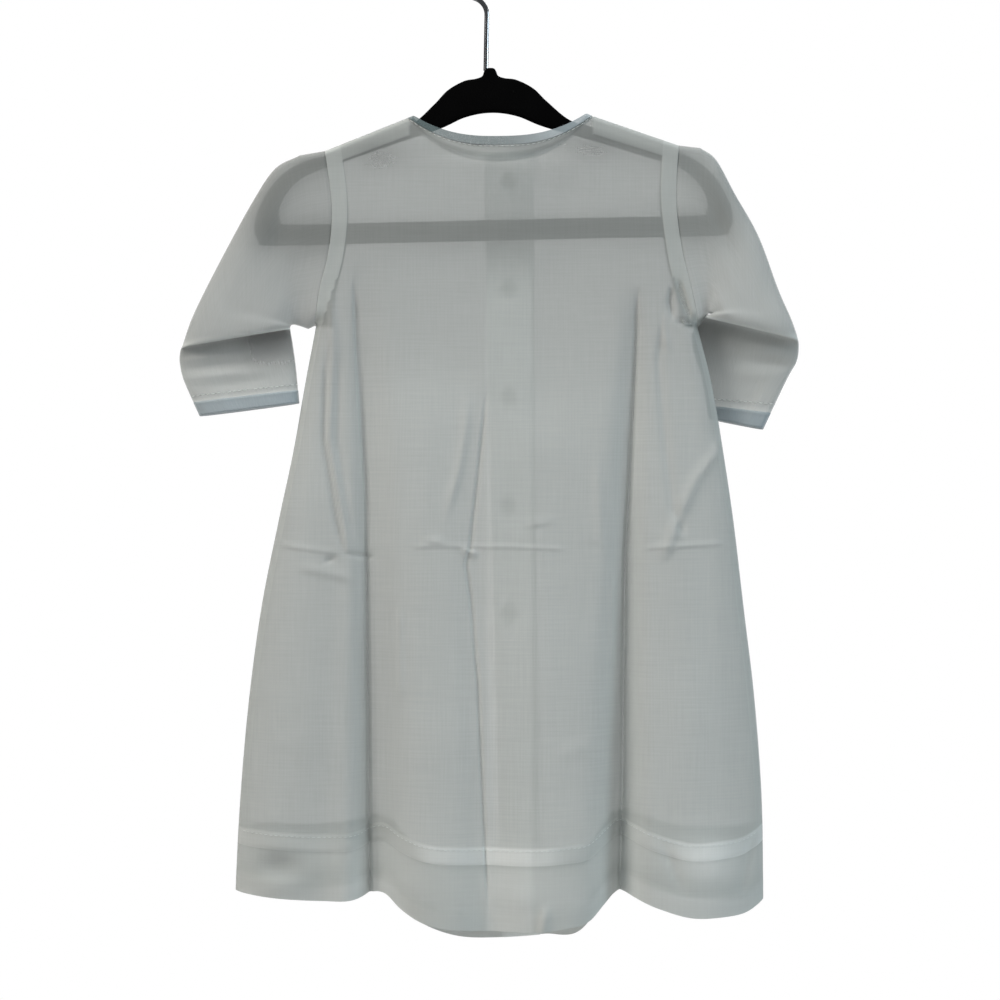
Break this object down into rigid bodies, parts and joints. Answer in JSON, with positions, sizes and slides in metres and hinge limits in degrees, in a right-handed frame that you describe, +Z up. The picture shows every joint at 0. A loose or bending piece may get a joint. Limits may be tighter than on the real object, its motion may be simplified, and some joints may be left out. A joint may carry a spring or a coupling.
{
  "type": "button-up infant daygown on a flocked suit hanger",
  "caption": "Sheer A-line infant gown, buttoned down the front, with bent long sleeves and bound neck and cuffs, hanging on a flocked hanger with a wire hook.",
  "frame": {"origin": "where the inside top of the hook rests on a rail", "axes": "+Z up; +Y out of the gown's buttoned front, so -Y looks at its back; +X to the right as seen from -Y, the wearer's right"},
  "size_m": [0.3621, 0.0616, 0.5932],
  "materials": {
    "batiste": "sheer plain-weave cotton batiste, white, soft and matte",
    "bias_tape": "pale blue cotton bias binding, edge-stitched",
    "button": "small pearly white buttons",
    "flocking": "black velvet flocking on moulded plastic",
    "hook_wire": "bright plated steel wire"
  },
  "bodies": {
    "root": {"back_panel": "batiste", "front_left": "batiste", "front_right": "batiste", "sleeve_left": "batiste", "sleeve_right": "batiste", "neck_binding": "bias_tape", "cuff_binding_left": "bias_tape", "cuff_binding_right": "bias_tape", "button_1": "button", "button_2": "button", "button_3": "button", "button_4": "button", "button_5": "button", "hanger_body": "flocking", "hanger_hook": "hook_wire"}
  },
  "joints": []
}
